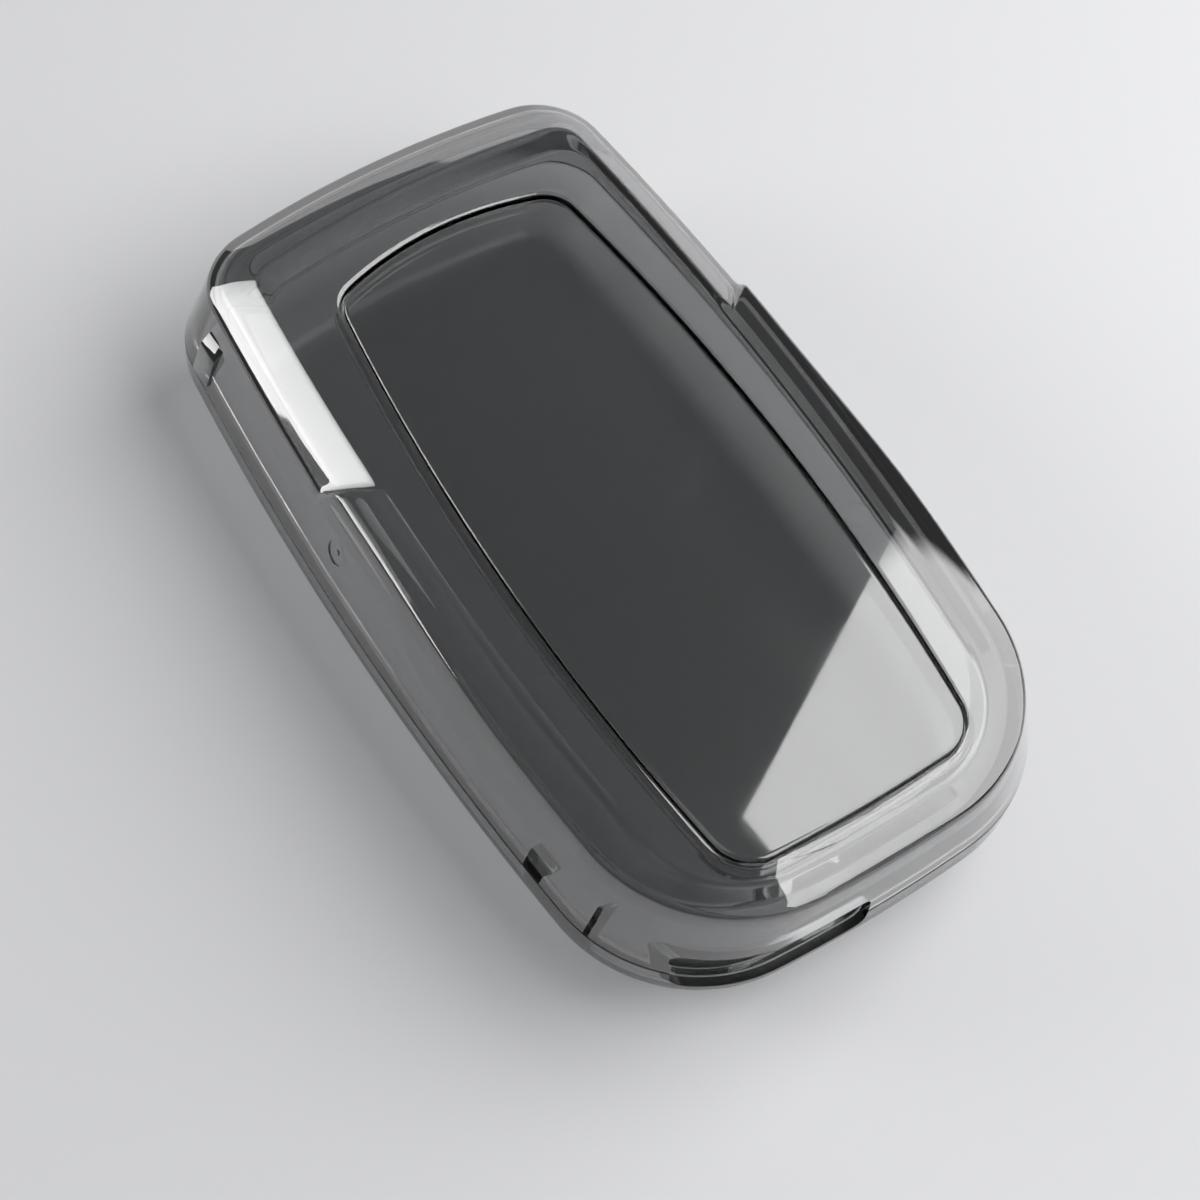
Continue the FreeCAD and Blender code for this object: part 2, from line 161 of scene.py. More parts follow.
# Press panel and its window.
PANEL_HALF_WIDTH = 13.5
PANEL_TOP = 28.2
PANEL_BOTTOM = 35.1
PANEL_WIDEST = -6.1
PANEL_SIDE_RADIUS = 215.0
PANEL_TOP_RADIUS = 31.0
PANEL_BOTTOM_RADIUS = 150.0
PANEL_TOP_CORNER = 3.0
PANEL_BOTTOM_CORNER = 3.8
PANEL_GAP = 0.25
PANEL_ROUND = 0.42
FLANGE_WIDTH = 0.8
FLANGE_ROUND = 0.2
FLANGE_ROOT_ROUND = 0.1
CAP_INSET = 2.0

# Key-ring slot.
SLOT_LEFT = -17.9
SLOT_RIGHT = -1.2
SLOT_RISE = 2.5
SLOT_DROP = 2.1
SLOT_INSIDE = -32.0
SLOT_CORNER = 1.0

# Latch notch, barb and slit in both side walls.
NOTCH_START = -22.1
NOTCH_END = -25.1
NOTCH_HEIGHT = 2.7
NOTCH_CORNER = 0.3
HOOK_CORNER = 0.7
BARB_START = -24.25
BARB_HEIGHT = 1.4
BARB_CORNER = 0.5
LATCH_DROP = 0.8
LATCH_TIP = -29.55
SLIT_END = -30.05
SLIT_HEIGHT = 4.2
SLIT_CORNER = 0.22

# Lugs on the left wall and the top end: places with heights over the belt, and the ends.
SIDE_LUG_SECTION = ((-22.3, 0.5), (-21.5, 0.5), (-19.8, 4.7), (-20.45, 4.7), (-21.45, 3.75))
SIDE_LUG_ENDS = (29.4, 31.8)
END_LUG_SECTION = ((38.75, 0.5), (38.1, 0.5), (37.3, 5.4), (38.35, 5.4))
END_LUG_ENDS = (-15.4, -13.2)
LUG_EDGE = 0.12
LUG_EDGE_STEPS = 2
LUG_EDGE_PROFILE = 0.5

# Round marks of the mould: the gate's on the left wall, and the ejector pins' under the deck.
GATE_PLACE = (-22.168, 7.969, 13.659)
GATE_FACING = (-0.947, 0.032, 0.32)
GATE_RADIUS = 1.15
GATE_DEPTH = 0.12
GATE_NUB_RADIUS = 0.28
GATE_NUB_LEVELS = (-0.24, -0.03)
PIN_PLACE = (15.4, -13.0)
PIN_FACING = (0.0, 0.0, -1.0)
PIN_RADIUS = 1.1
PIN_DEPTH = 0.08
DISC_STEPS = 40

# Overrun of every cut.
OVERRUN = 1.0

# Steps round an outline and across a rounding.
END_STEPS = 20
TOP_CORNER_STEPS = 20
BOTTOM_CORNER_STEPS = 30
SIDE_STEPS = 110
SIDE_SAMPLES = 2000
JOG_STEP_GAIN = 4.0
JOG_STEP_SPREAD_SHARE = 0.08
ROUND_STEPS = 6
ROUND_LIMIT_SHARE = 0.45
SUPPORT_SHARE = 0.12
SMOOTH_ANGLE = math.radians(33)

# Clear plastic and the smoke in its depth.
CLEAR_COLOUR = (0.97, 0.974, 0.977, 1.0)
CLEAR_IOR = 1.59
COAT = 1.0
NO_COAT = 0.0
COAT_ROUGHNESS = 0.015
COAT_IOR = 1.8
SHADOW_COLOUR = (0.93, 0.94, 0.94, 1.0)
SMOKE_COLOUR = (0.026, 0.03, 0.03, 1.0)
SHELL_SMOKE = 380.0
PANEL_SMOKE = 360.0

# Ripple of the mould, hair marks, smudges, and the satin inside of the tray.
RIPPLE_SCALE = 60.0
RIPPLE_DETAIL = 1.0
RIPPLE_STRENGTH = 0.25
RIPPLE_HEIGHT = 0.00004
HAIR_TURN = (0.0, 0.0, math.radians(28))
HAIR_STRETCH = (2500.0, 40.0, 40.0)
HAIR_SCALE = 1.0
HAIR_DETAIL = 2.0
HAIR_RANGE = (0.68, 0.8)
HAIR_ROUGHNESS = (0.0, 0.05)
SMUDGE_SCALE = 160.0
SMUDGE_DETAIL = 5.0
SMUDGE_RANGE = (0.4, 0.75)
SMUDGE_ROUGHNESS = (0.012, 0.05)
SATIN_RANGE = (0.1, 0.3)
SATIN_ROUGHNESS = (0.0, 0.18)

# Floor, in metres: its even far part starts and is reached at the ends of a range.
FLOOR_COLOUR = (0.8, 0.8, 0.81, 1.0)
FLOOR_ROUGHNESS = 0.9
FLOOR_SPECULAR = 0.1
FLOOR_HALF = 3.0
FLOOR_DROP = 0.0002
FLOOR_FAR_RANGE = (0.09, 0.2)

# Key softbox over the right side: its corner, its edges, and the slanting flag across it.
KEY_CORNER = Vector((166.0, 115.0, 500.0))
KEY_RIGHT_EDGE = Vector((0.639, 0.297, -0.739))
KEY_FRONT_EDGE = Vector((-0.19, -1.149, -0.539))
KEY_RADIANCE = 3.1
KEY_FRONT = 457.0
KEY_RIGHT = 388.0
FLAG_START = 79.0
FLAG_SLOPE = 0.56
FLAG_SOFTNESS = 8.0

# Softbox over the key-ring end, beside the key softbox.
FRONT_START = 180.0
FRONT_LENGTH = 340.0
FRONT_WIDTH = 125.0

# Softbox at the left, brighter along its lower edge.
SIDE_CORNER = Vector((-365.05, 534.74, 0.44))
SIDE_LENGTH_EDGE = Vector((-0.40656, -0.74906, 0.52305))
SIDE_RISE_EDGE = Vector((0.55154, 0.25514, 0.79408))
SIDE_LENGTH = 436.0
SIDE_RISE = 245.0
SIDE_RADIANCE = 4.2
SIDE_FADE = (1.3, 0.45)

# Even dome.
DOME_COLOUR = (0.95, 0.97, 1.0, 1.0)
DOME_STRENGTH = 0.15

# Camera at the photograph's viewing angle.
CAMERA_TARGET = Vector((-4.204, -5.181, 9.4))
CAMERA_DISTANCE = 252.56
CAMERA_AZIMUTH = math.radians(42.19)
CAMERA_ELEVATION = math.radians(61.3)
CAMERA_ROLL = math.radians(10.07)
CAMERA_LENS = 90.0
CAMERA_SENSOR = 36.0
CAMERA_CLIP_START = 0.01


def belt_outline(side, top, bottom, top_corner, bottom_corner):
    """Belt drawn in at the sides and at each end, with its own corners."""
    return Outline(BELT_HALF_WIDTH - side, BELT_HALF_LENGTH - top, BELT_HALF_LENGTH - bottom,
                   WIDEST_PLACE, SIDE_RADIUS - side, TOP_RADIUS - top, BOTTOM_RADIUS - bottom,
                   top_corner, bottom_corner)


def even_outline(inset):
    """Belt drawn in evenly all round."""
    return belt_outline(inset, inset, inset, BELT_TOP_CORNER - inset, BELT_BOTTOM_CORNER - inset)


def panel_outline(growth):
    """Press panel grown evenly all round."""
    return Outline(PANEL_HALF_WIDTH + growth, PANEL_TOP + growth, PANEL_BOTTOM + growth,
                   PANEL_WIDEST, PANEL_SIDE_RADIUS + growth, PANEL_TOP_RADIUS + growth,
                   PANEL_BOTTOM_RADIUS + growth, PANEL_TOP_CORNER + growth,
                   PANEL_BOTTOM_CORNER + growth)


def meeting_point(first, first_radius, second, second_radius, upper):
    """Upper or lower point where two circles meet."""
    span = second - first
    length = np.linalg.norm(span)
    along = (first_radius ** 2 - second_radius ** 2 + length ** 2) / (2 * length)
    across = math.sqrt(first_radius ** 2 - along ** 2)
    foot = first + span * (along / length)
    side = np.array((-span[1], span[0])) * (across / length)
    points = sorted((foot + side, foot - side), key=lambda point: point[1])
    return points[1] if upper else points[0]


def arc(centre, radius, start, finish, shares):
    """Points on an arc at shares of its sweep."""
    angles = start + (finish - start) * np.asarray(shares)
    return centre + radius * np.stack((np.cos(angles), np.sin(angles)), axis=1)


def heading(centre, other):
    """Angle of the line from one point to another."""
    return math.atan2(other[1] - centre[1], other[0] - centre[0])


def even_shares(steps):
    """Shares from 0 to 1 in even steps."""
    return np.linspace(0, 1, steps + 1)


def side_shares():
    """Shares along a side, closer together at the jog."""
    place = np.linspace(0, 1, SIDE_SAMPLES)
    low = -BELT_HALF_LENGTH + BELT_BOTTOM_CORNER
    high = BELT_HALF_LENGTH - BELT_TOP_CORNER
    jog = ((JOG_OUTER + JOG_INNER) / 2 - low) / (high - low)
    density = 1 + JOG_STEP_GAIN * np.exp(-((place - jog) / JOG_STEP_SPREAD_SHARE) ** 2)
    total = np.cumsum(density)
    total = (total - total[0]) / (total[-1] - total[0])
    return np.interp(even_shares(SIDE_STEPS), total, place)


def ring(shape, height):
    """Points round an outline at a height, from the middle of the bottom end and anticlockwise."""
    side = np.array((shape.half_width - shape.side_radius, shape.widest))
    top = np.array((0.0, shape.top - shape.top_radius))
    bottom = np.array((0.0, shape.bottom_radius - shape.bottom))
    high = meeting_point(side, shape.side_radius - shape.top_corner,
                         top, shape.top_radius - shape.top_corner, upper=True)
    low = meeting_point(side, shape.side_radius - shape.bottom_corner,
                        bottom, shape.bottom_radius - shape.bottom_corner, upper=False)
    right_angle = math.pi / 2
    spans = (
        arc(bottom, shape.bottom_radius, -right_angle, heading(bottom, low), even_shares(END_STEPS)),
        arc(low, shape.bottom_corner, heading(bottom, low), heading(side, low),
            even_shares(BOTTOM_CORNER_STEPS)),
        arc(side, shape.side_radius, heading(side, low), heading(side, high), side_shares()),
        arc(high, shape.top_corner, heading(side, high), heading(top, high),
            even_shares(TOP_CORNER_STEPS)),
        arc(top, shape.top_radius, heading(top, high), right_angle, even_shares(END_STEPS)),
    )
    half = np.concatenate([span[:-1] for span in spans] + [spans[-1][-1:]])
    whole = np.concatenate((half, half[-2:0:-1] * (-1, 1)))
    return np.column_stack((whole, np.full(len(whole), height)))


def inset_ring(inset, base=0.0):
    """Ring drawn in from the belt, at its height over a base."""
    *insets, height = inset
    return ring(belt_outline(*insets), base + height)


def smooth_step(value):
    """Smooth climb from 0 to 1."""
    value = np.clip(value, 0, 1)
    return value * value * (3 - 2 * value)


def bend(start, corner, finish):
    """Points, or whole rings, of a smooth bend inside a corner."""
    return [(1 - share) ** 2 * start + 2 * share * (1 - share) * corner + share ** 2 * finish
            for share in np.linspace(0, 1, ROUND_STEPS)]


def rounded_corner(corner, before, after, radius):
    """Rings of one rounded corner of a profile, with a support ring on each side."""
    ends = []
    supports = []
    for other in (before, after):
        span = other - corner
        length = np.linalg.norm(span, axis=1, keepdims=True)
        reach = np.minimum(np.reshape(radius, (-1, 1)), ROUND_LIMIT_SHARE * length)
        ends.append(corner + span / length * reach)
        supports.append(ends[-1] + span / length * SUPPORT_SHARE * (length / 2 - reach))
    return [supports[0], *bend(ends[0], corner, ends[1]), supports[1]]


def rounded(corners, radii, closed):
    """Rings through the corners of a profile, those with a radius rounded.

    The ends of an open profile are kept as they are.
    """
    rings = []
    count = len(corners)
    for index, corner in enumerate(corners):
        if radii[index] is None or not closed and index in (0, count - 1):
            rings.append(corner)
        else:
            rings += rounded_corner(corner, corners[index - 1], corners[(index + 1) % count],
                                    radii[index])
    return rings


def new_object(name, mesh):
    """Object of a mesh, in the scene, with its faces turned outwards."""
    form = bmesh.new()
    form.from_mesh(mesh)
    bmesh.ops.recalc_face_normals(form, faces=form.faces)
    form.to_mesh(mesh)
    form.free()
    item = bpy.data.objects.new(name, mesh)
    bpy.context.scene.collection.objects.link(item)
    return item


def loft(name, rings, closed):
    """Object skinned through rings, joined end to end or closed by caps."""
    count = len(rings[0])
    points = np.concatenate(rings) * MILLIMETRE
    faces = []
    last = len(rings) if closed else len(rings) - 1
    for level in range(last):
        base = level * count
        above = (level + 1) % len(rings) * count
        for index in range(count):
            following = (index + 1) % count
            faces.append((base + index, base + following, above + following, above + index))
    if not closed:
        faces.append(tuple(reversed(range(count))))
        faces.append(tuple(range((len(rings) - 1) * count, len(rings) * count)))
    mesh = bpy.data.meshes.new(name)
    mesh.from_pydata(points.tolist(), [], faces)
    return new_object(name, mesh)


def moulding(name, corners, closed):
    """Object skinned through a profile of rings, each given with the radius of its corner."""
    places = [points for points, radius in corners]
    radii = [radius for points, radius in corners]
    return loft(name, rounded(places, radii, closed), closed)


def prism(name, low_points, high_points):
    """Closed solid between two polygons with as many corners, in millimetres."""
    count = len(low_points)
    points = np.concatenate((low_points, high_points)) * MILLIMETRE
    faces = [tuple(range(count)), tuple(range(count, 2 * count))]
    for index in range(count):
        following = (index + 1) % count
        faces.append((index, following, count + following, count + index))
    mesh = bpy.data.meshes.new(name)
    mesh.from_pydata(points.tolist(), [], faces)
    return new_object(name, mesh)


def combine(item, tools, operation):
    """Cut tools out of an object or join them to it, and remove the tools."""
    for tool in tools:
        modifier = item.modifiers.new("combine", "BOOLEAN")
        modifier.operation = operation
        modifier.solver = "EXACT"
        modifier.object = tool
    graph = bpy.context.evaluated_depsgraph_get()
    mesh = bpy.data.meshes.new_from_object(item.evaluated_get(graph))
    item.modifiers.clear()
    item.data = mesh
    for tool in tools:
        bpy.data.objects.remove(tool)


def smooth(item):
    """Smooth shading that stops at sharp edges."""
    item.data.shade_smooth()
    item.data.set_sharp_from_angle(angle=SMOOTH_ANGLE)


def along_blend(upper, jog, lower, place, blend):
    """Rings blended along the cover: the upper one above the jog, then the jog's, then the lower."""
    along = lower[:, 1:2]
    fall = smooth_step((CREST_FALL_START - along) / (CREST_FALL_START - CREST_FALL_END))
    climb = smooth_step((along - place) / blend + 0.5)
    below = jog * (1 - fall) + lower * fall
    return below * (1 - climb) + upper * climb


def bevel_rings(belt):
    """Middle of the wall, crest, shoulder and deck edge of the front shell."""
    feet, edges = [[inset_ring(part, BELT) for part in level]
                   for level in zip(UPPER_BEVEL, JOG_BEVEL, LOWER_BEVEL)]
    middle_height = UPPER_BEVEL[0].height * WALL_MIDDLE_SHARE
    walls = [belt + (foot - belt) * (middle_height / (foot[0, 2] - BELT)) for foot in feet]
    shoulders = [foot + (edge - foot) * SHOULDER_SHARE for foot, edge in zip(feet, edges)]
    for points, bulge in zip(shoulders, SHOULDER_BULGES):
        points[:, 2] += bulge
    shoulder_jog = JOG_OUTER + (JOG_INNER - JOG_OUTER) * SHOULDER_SHARE
    return (along_blend(*walls, JOG_OUTER, WALL_BLEND),
            along_blend(*feet, JOG_OUTER, JOG_BLEND),
            along_blend(*shoulders, shoulder_jog, JOG_BLEND),
            along_blend(*edges, JOG_INNER, JOG_BLEND))


def window_radii(edge):
    """Rounding of the window's edge, wider towards the top end."""
    climb = smooth_step((edge[:, 1] - WINDOW_ROUND_START) / (WINDOW_ROUND_END - WINDOW_ROUND_START))
    return WINDOW_ROUND + (WINDOW_TOP_ROUND - WINDOW_ROUND) * climb


def slot_cutter():
    """Box through the end wall, its corners rounded."""
    low_x, high_x = SLOT_LEFT + SLOT_CORNER, SLOT_RIGHT - SLOT_CORNER
    low_z = BELT - SLOT_DROP + SLOT_CORNER
    high_z = BELT + SLOT_RISE - SLOT_CORNER
    centres = ((high_x, low_z, -90), (high_x, high_z, 0), (low_x, high_z, 90), (low_x, low_z, 180))
    section = []
    for across, height, start in centres:
        for turn in np.linspace(0, 90, ROUND_STEPS):
            angle = math.radians(start + turn)
            section.append((across + SLOT_CORNER * math.cos(angle),
                            height + SLOT_CORNER * math.sin(angle)))
    outside = -BELT_HALF_LENGTH - OVERRUN
    return prism("slot_cutter", [(x, outside, z) for x, z in section],
                 [(x, SLOT_INSIDE, z) for x, z in section])


def eased(corners):
    """Flat polygon from corners and radii, those with a radius rounded."""
    points = []
    count = len(corners)
    for index, (*place, radius) in enumerate(corners):
        corner = np.array(place)
        if not radius:
            points.append(corner)
            continue
        back = np.array(corners[index - 1][:2]) - corner
        ahead = np.array(corners[(index + 1) % count][:2]) - corner
        start = corner + back * (radius / np.linalg.norm(back))
        finish = corner + ahead * (radius / np.linalg.norm(ahead))
        points += bend(start, corner, finish)
    return points


def latch_cutter():
    """Notch, barb and slit, right across the cover."""
    below = TONGUE_FOOT - OVERRUN
    section = eased((
        (NOTCH_START, below, 0),
        (NOTCH_START, BELT + NOTCH_HEIGHT, NOTCH_CORNER),
        (NOTCH_END, BELT + NOTCH_HEIGHT, HOOK_CORNER),
        (BARB_START, BELT + BARB_HEIGHT, BARB_CORNER),
        (BARB_START, BELT - LATCH_DROP, 0),
        (LATCH_TIP, BELT - LATCH_DROP, 0),
        (LATCH_TIP, BELT + SLIT_HEIGHT, SLIT_CORNER),
        (SLIT_END, BELT + SLIT_HEIGHT, SLIT_CORNER),
        (SLIT_END, below, 0),
    ))
    reach = BELT_HALF_WIDTH + OVERRUN
    return prism("latch_cutter", [(-reach, y, z) for y, z in section],
                 [(reach, y, z) for y, z in section])


def soften(item):
    """Narrow chamfer along every edge of a lug."""
    form = bmesh.new()
    form.from_mesh(item.data)
    bmesh.ops.bevel(form, geom=form.edges, offset=LUG_EDGE * MILLIMETRE, segments=LUG_EDGE_STEPS,
                    affect="EDGES", profile=LUG_EDGE_PROFILE)
    form.to_mesh(item.data)
    form.free()
    return item


def side_lug():
    """Block on the left wall near the top end, its back face inside the wall."""
    ends = [[(x, end, BELT + height) for x, height in SIDE_LUG_SECTION] for end in SIDE_LUG_ENDS]
    return soften(prism("side_lug", *ends))


def end_lug():
    """Small block on the top end wall near its left corner."""
    ends = [[(end, y, BELT + height) for y, height in END_LUG_SECTION] for end in END_LUG_ENDS]
    return soften(prism("end_lug", *ends))


def disc(name, centre, facing, radius, low, high):
    """Round block between two levels over a point of a surface, square to it."""
    facing = Vector(facing).normalized()
    along = facing.orthogonal().normalized()
    across = facing.cross(along)
    turns = [2 * math.pi * index / DISC_STEPS for index in range(DISC_STEPS)]
    ends = []
    for level in (low, high):
        middle = Vector(centre) + facing * level
        ends.append([tuple(middle + radius * (along * math.cos(turn) + across * math.sin(turn)))
                     for turn in turns])
    return prism(name, *ends)


def mould_marks():
    """Cutters of the shallow round marks: the gate's and those of two ejector pins."""
    marks = [disc("gate_mark", GATE_PLACE, GATE_FACING, GATE_RADIUS, -GATE_DEPTH, OVERRUN)]
    for side in (-1, 1):
        place = (side * PIN_PLACE[0], PIN_PLACE[1], DECK - DECK_WALL)
        marks.append(disc("pin_mark", place, PIN_FACING, PIN_RADIUS, -PIN_DEPTH, OVERRUN))
    return marks


def build_front_shell():
    """Front half: tongue, flared wall, bevels, deck with its window, and the inside."""
    tongue = even_outline(SKIN + TONGUE_CLEARANCE)
    window = panel_outline(PANEL_GAP)
    window_edge = ring(window, DECK)
    inner = even_outline(WALL)
    belt = ring(even_outline(0), BELT)
    wall, crest, shoulder, edge = bevel_rings(belt)
    corners = (
        (ring(tongue, TONGUE_FOOT), TONGUE_TIP_ROUND),
        (ring(tongue, BELT), TONGUE_ROOT_ROUND),
        (belt, BELT_ROUND),
        *[(belt + (wall - belt) * share, None) for share in WALL_STEP_SHARES],
        (wall, WALL_ROUND),
        (crest, CREST_ROUND),
        (shoulder, SHOULDER_ROUND),
        (edge, DECK_EDGE_ROUND),
        (window_edge, window_radii(window_edge)),
        (ring(window, DECK - DECK_WALL), WINDOW_FOOT_ROUND),
        (inset_ring(CEILING, BELT), CEILING_ROUND),
        (inset_ring(INNER_CREST, BELT), INNER_CREST_ROUND),
        (ring(inner, BELT), INNER_BELT_ROUND),
        (ring(inner, TONGUE_FOOT), TONGUE_TIP_ROUND),
    )
    item = moulding("front_shell_moulding", corners, closed=True)
    combine(item, (side_lug(), end_lug()), "UNION")
    combine(item, (slot_cutter(), latch_cutter(), *mould_marks()), "DIFFERENCE")
    nub = disc("gate_nub", GATE_PLACE, GATE_FACING, GATE_NUB_RADIUS, *GATE_NUB_LEVELS)
    combine(item, (nub,), "UNION")
    smooth(item)
    return item


def build_rear_shell():
    """Rear half: flat back, sloped sides, band, rebate for the tongue, and the inside."""
    rim = BELT - SEAM
    rebate = BELT - REBATE_DEPTH
    band = rebate - BAND_DROP
    outer = even_outline(0)
    skin = even_outline(SKIN)
    inner = even_outline(WALL)
    corners = (
        (inset_ring(BACK_MIDDLE), None),
        (inset_ring(BACK_EDGE), BACK_ROUND),
        (inset_ring(BACK_SLOPE), SLOPE_ROUND),
        (ring(outer, band), BAND_ROUND),
        (ring(outer, rim), RIM_ROUND),
        (ring(skin, rim), RIM_INSIDE_ROUND),
        (ring(skin, rebate), REBATE_ROUND),
        (ring(inner, rebate), REBATE_ROUND),
        (ring(inner, band), LEDGE_ROUND),
        (inset_ring(TRAY_SLOPE), SLOPE_ROUND),
        (inset_ring(TRAY_EDGE), BACK_ROUND),
        (inset_ring(TRAY_MIDDLE), None),
    )
    item = moulding("rear_shell_moulding", corners, closed=False)
    combine(item, (slot_cutter(),), "DIFFERENCE")
    smooth(item)
    return item


def build_front_panel():
    """Press panel with a softened edge and a flange under the deck."""
    seat = DECK - DECK_WALL - SEAM
    flange = panel_outline(FLANGE_WIDTH)
    panel = panel_outline(0)
    corners = (
        (ring(panel_outline(FLANGE_WIDTH - CAP_INSET), FLANGE_FOOT), None),
        (ring(flange, FLANGE_FOOT), FLANGE_ROUND),
        (ring(flange, seat), FLANGE_ROUND),
        (ring(panel, seat), FLANGE_ROOT_ROUND),
        (ring(panel, DECK), PANEL_ROUND),
        (ring(panel_outline(-CAP_INSET), DECK), None),
    )
    item = moulding("front_panel_moulding", corners, closed=False)
    smooth(item)
    return item


def link(tree, source, target):
    """Connect two sockets of a node tree."""
    tree.links.new(source, target)


def new_node(tree, kind, values):
    """New node with constant values on its sockets."""
    item = tree.nodes.new(kind)
    for socket, value in values.items():
        item.inputs[socket].default_value = value
    return item


def noise(tree, place, scale, detail):
    """Noise over a place, as a number."""
    item = new_node(tree, "ShaderNodeTexNoise", {"Scale": scale, "Detail": detail})
    link(tree, place, item.inputs["Vector"])
    return item.outputs["Fac"]


def ramp(tree, value, source_range, target_range, interpolation="LINEAR"):
    """Number carried from one range to another."""
    item = new_node(tree, "ShaderNodeMapRange", {
        "From Min": source_range[0],
        "From Max": source_range[1],
        "To Min": target_range[0],
        "To Max": target_range[1],
    })
    item.interpolation_type = interpolation
    link(tree, value, item.inputs["Value"])
    return item.outputs["Result"]


def maths(tree, operation, first, second):
    """Sum, product or larger one of two numbers."""
    item = tree.nodes.new("ShaderNodeMath")
    item.operation = operation
    link(tree, first, item.inputs[0])
    link(tree, second, item.inputs[1])
    return item.outputs["Value"]


def mixed(tree, share, first, second):
    """Two shaders mixed by a share of the second."""
    item = tree.nodes.new("ShaderNodeMixShader")
    link(tree, share, item.inputs["Fac"])
    link(tree, first, item.inputs[1])
    link(tree, second, item.inputs[2])
    return item.outputs["Shader"]


def mould_ripple(tree, place):
    """Normal of a faintly rippled face."""
    wave = new_node(tree, "ShaderNodeBump", {"Strength": RIPPLE_STRENGTH, "Distance": RIPPLE_HEIGHT})
    link(tree, noise(tree, place, RIPPLE_SCALE, RIPPLE_DETAIL), wave.inputs["Height"])
    return wave.outputs["Normal"]


def handled_gloss(tree, place):
    """Roughness of a glossy face with smudges and fine hair marks."""
    stretch = new_node(tree, "ShaderNodeMapping", {"Rotation": HAIR_TURN, "Scale": HAIR_STRETCH})
    link(tree, place, stretch.inputs["Vector"])
    hairs = noise(tree, stretch.outputs["Vector"], HAIR_SCALE, HAIR_DETAIL)
    smudges = noise(tree, place, SMUDGE_SCALE, SMUDGE_DETAIL)
    return maths(tree, "ADD", ramp(tree, smudges, SMUDGE_RANGE, SMUDGE_ROUGHNESS),
                 ramp(tree, hairs, HAIR_RANGE, HAIR_ROUGHNESS))


def satin_inside(tree, normal, finish):
    """Rougher finish on faces that look up, which are the inside of the tray."""
    parts = tree.nodes.new("ShaderNodeSeparateXYZ")
    link(tree, normal, parts.inputs["Vector"])
    satin = ramp(tree, parts.outputs["Z"], SATIN_RANGE, SATIN_ROUGHNESS, "SMOOTHSTEP")
    return maths(tree, "MAXIMUM", finish, satin)


def clear_surface(tree, finish, normal, coat):
    """Clear glossy surface that lets shadow rays through."""
    surface = new_node(tree, "ShaderNodeBsdfPrincipled", {
        "Base Color": CLEAR_COLOUR,
        "Transmission Weight": 1.0,
        "IOR": CLEAR_IOR,
        "Coat Weight": coat,
        "Coat Roughness": COAT_ROUGHNESS,
        "Coat IOR": COAT_IOR,
    })
    link(tree, finish, surface.inputs["Roughness"])
    link(tree, normal, surface.inputs["Normal"])
    passed = new_node(tree, "ShaderNodeBsdfTransparent", {"Color": SHADOW_COLOUR})
    ray = tree.nodes.new("ShaderNodeLightPath")
    return mixed(tree, ray.outputs["Is Shadow Ray"], surface.outputs["BSDF"], passed.outputs["BSDF"])


def smoked_plastic(name, density, coat, satin=False):
    """Clear plastic with smoke in its depth, moulding ripple and faint handling marks."""
    material = bpy.data.materials.new(name)
    material.use_nodes = True
    tree = material.node_tree
    tree.nodes.clear()
    place = tree.nodes.new("ShaderNodeTexCoord")
    finish = handled_gloss(tree, place.outputs["Object"])
    if satin:
        finish = satin_inside(tree, place.outputs["Normal"], finish)
    normal = mould_ripple(tree, place.outputs["Object"])
    surface = clear_surface(tree, finish, normal, coat)
    smoke = new_node(tree, "ShaderNodeVolumeAbsorption", {"Color": SMOKE_COLOUR, "Density": density})
    output = tree.nodes.new("ShaderNodeOutputMaterial")
    link(tree, surface, output.inputs["Surface"])
    link(tree, smoke.outputs["Volume"], output.inputs["Volume"])
    return material


def dress(item, material, body, node):
    """Give a piece its material and body, and hide the imported part that it takes the place of."""
    item.data.materials.clear()
    item.data.materials.append(material)
    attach(item, body)
    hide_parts(node)


def seen_rays(tree):
    """1 for rays that show the floor straight, mirrored or through the plastic."""
    ray = tree.nodes.new("ShaderNodeLightPath")
    seen = ray.outputs["Is Camera Ray"]
    for kind in ("Is Glossy Ray", "Is Transmission Ray"):
        seen = maths(tree, "MAXIMUM", seen, ray.outputs[kind])
    return seen


def pale_floor():
    """Plain pale floor, lit and shaded round the cover and evenly pale further away."""
    material = bpy.data.materials.new("pale_floor")
    material.use_nodes = True
    tree = material.node_tree
    surface = tree.nodes["Principled BSDF"]
    surface.inputs["Base Color"].default_value = FLOOR_COLOUR
    surface.inputs["Roughness"].default_value = FLOOR_ROUGHNESS
    surface.inputs["Specular IOR Level"].default_value = FLOOR_SPECULAR
    place = tree.nodes.new("ShaderNodeTexCoord")
    reach = tree.nodes.new("ShaderNodeVectorMath")
    reach.operation = "LENGTH"
    link(tree, place.outputs["Object"], reach.inputs[0])
    far = ramp(tree, reach.outputs["Value"], FLOOR_FAR_RANGE, (0.0, 1.0), "SMOOTHSTEP")
    even = new_node(tree, "ShaderNodeEmission", {"Color": FLOOR_COLOUR})
    share = maths(tree, "MULTIPLY", far, seen_rays(tree))
    shown = mixed(tree, share, surface.outputs["BSDF"], even.outputs["Emission"])
    link(tree, shown, tree.nodes["Material Output"].inputs["Surface"])
    return material


def build_floor():
    """Pale floor just under the cover."""
    corners = [(across * FLOOR_HALF, along * FLOOR_HALF, -FLOOR_DROP)
               for across, along in ((-1, -1), (1, -1), (1, 1), (-1, 1))]
    mesh = bpy.data.meshes.new("floor")
    mesh.from_pydata(corners, [], [(0, 1, 2, 3)])
    mesh.materials.append(pale_floor())
    new_object("floor", mesh)


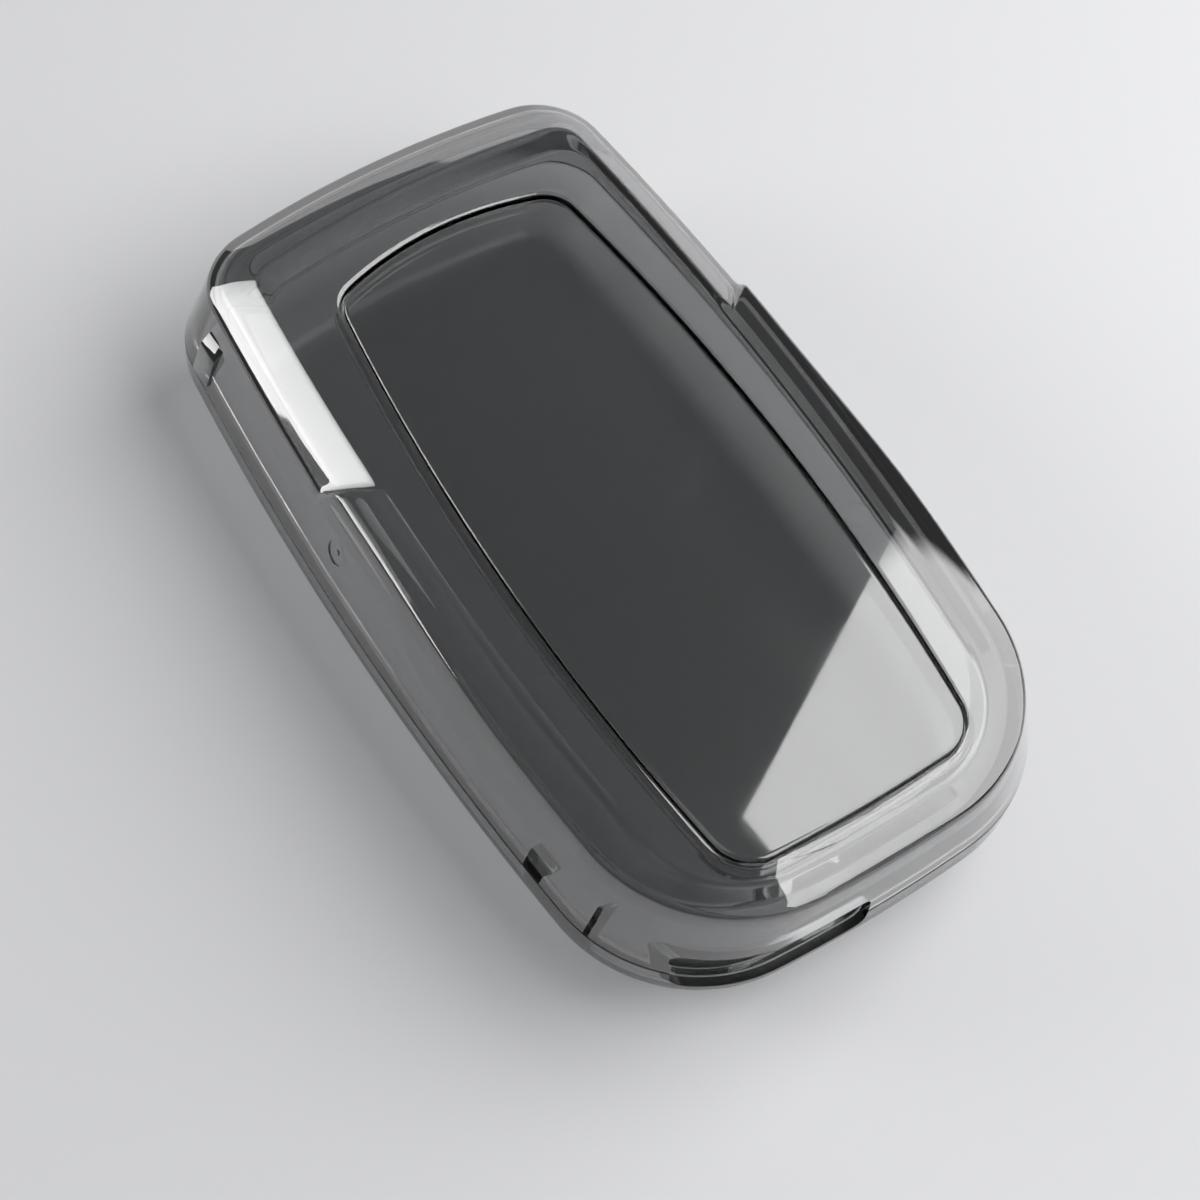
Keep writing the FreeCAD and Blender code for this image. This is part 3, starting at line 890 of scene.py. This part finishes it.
def softbox(name, corner, first, second, radiance):
    """Rectangular lamp spread from a corner along two edges at right angles, in millimetres."""
    data = bpy.data.lights.new(name, "AREA")
    data.shape = "RECTANGLE"
    data.size = first.length * MILLIMETRE
    data.size_y = second.length * MILLIMETRE
    data.energy = radiance * math.pi * data.size * data.size_y
    across, along = first.normalized(), second.normalized()
    lamp = bpy.data.objects.new(name, data)
    lamp.location = (corner + first / 2 + second / 2) * MILLIMETRE
    lamp.rotation_mode = "QUATERNION"
    turn = Matrix((across, along, across.cross(along))).transposed()
    lamp.rotation_quaternion = turn.to_quaternion()
    lamp.visible_camera = False
    bpy.context.scene.collection.objects.link(lamp)
    return data


def lamp_place(lamp):
    """Node tree of a lamp, and the place across its two edges from 0 to 1."""
    lamp.use_nodes = True
    spot = lamp.node_tree.nodes.new("ShaderNodeNewGeometry")
    return lamp.node_tree, spot.outputs["Parametric"]


def fade(lamp, strengths):
    """Let a lamp's strength change along its second edge."""
    tree, place = lamp_place(lamp)
    parts = tree.nodes.new("ShaderNodeSeparateXYZ")
    link(tree, place, parts.inputs["Vector"])
    level = ramp(tree, parts.outputs["Y"], (0.0, 1.0), strengths)
    link(tree, level, tree.nodes["Emission"].inputs["Strength"])


def flag(lamp):
    """Shade the key softbox beyond a slanting line, with a soft edge."""
    tree, place = lamp_place(lamp)
    over = tree.nodes.new("ShaderNodeVectorMath")
    over.operation = "DOT_PRODUCT"
    over.inputs[1].default_value = (KEY_FRONT, -FLAG_SLOPE * KEY_RIGHT, 0.0)
    link(tree, place, over.inputs[0])
    line = -FLAG_SLOPE * FLAG_START
    level = ramp(tree, over.outputs["Value"], (line - FLAG_SOFTNESS, line + FLAG_SOFTNESS), (0.0, 1.0),
                 "SMOOTHSTEP")
    link(tree, level, tree.nodes["Emission"].inputs["Strength"])


def build_lights():
    """Softboxes over the right side and the key-ring end, and one at the left."""
    right = KEY_RIGHT_EDGE.normalized()
    front = (KEY_FRONT_EDGE - right * KEY_FRONT_EDGE.dot(right)).normalized()
    key = softbox("key_softbox", KEY_CORNER, front * KEY_FRONT, right * KEY_RIGHT, KEY_RADIANCE)
    flag(key)
    front_corner = KEY_CORNER + front * FRONT_START - right * FRONT_WIDTH
    softbox("front_softbox", front_corner, front * FRONT_LENGTH, right * FRONT_WIDTH, KEY_RADIANCE)
    side = softbox("side_softbox", SIDE_CORNER, SIDE_LENGTH_EDGE * SIDE_LENGTH,
                   SIDE_RISE_EDGE * SIDE_RISE, SIDE_RADIANCE)
    fade(side, SIDE_FADE)


def build_dome():
    """Even dome of light all round."""
    world = bpy.data.worlds.new("studio")
    bpy.context.scene.world = world
    world.use_nodes = True
    dome = world.node_tree.nodes["Background"]
    dome.inputs["Color"].default_value = DOME_COLOUR
    dome.inputs["Strength"].default_value = DOME_STRENGTH


def build_camera():
    """Camera at the photograph's viewing angle."""
    level = math.cos(CAMERA_ELEVATION)
    view = Vector((math.sin(CAMERA_AZIMUTH) * level, math.cos(CAMERA_AZIMUTH) * level,
                   -math.sin(CAMERA_ELEVATION)))
    data = bpy.data.cameras.new("camera")
    data.sensor_width = CAMERA_SENSOR
    data.lens = CAMERA_LENS
    data.clip_start = CAMERA_CLIP_START
    camera = bpy.data.objects.new("camera", data)
    camera.location = (CAMERA_TARGET - view * CAMERA_DISTANCE) * MILLIMETRE
    camera.rotation_mode = "QUATERNION"
    roll = Quaternion((0, 0, 1), CAMERA_ROLL)
    camera.rotation_quaternion = view.to_track_quat("-Z", "Y") @ roll
    bpy.context.scene.collection.objects.link(camera)
    bpy.context.scene.camera = camera


shell_plastic = smoked_plastic("smoked_plastic", SHELL_SMOKE, COAT)
tray_plastic = smoked_plastic("tray_plastic", SHELL_SMOKE, NO_COAT, satin=True)
panel_plastic = smoked_plastic("panel_plastic", PANEL_SMOKE, COAT)
dress(build_front_shell(), shell_plastic, "front", "front_shell")
dress(build_rear_shell(), tray_plastic, "rear", "rear_shell")
dress(build_front_panel(), panel_plastic, "panel", "front_panel")
build_floor()
build_lights()
build_dome()
build_camera()
bpy.context.scene.view_settings.view_transform = "Standard"
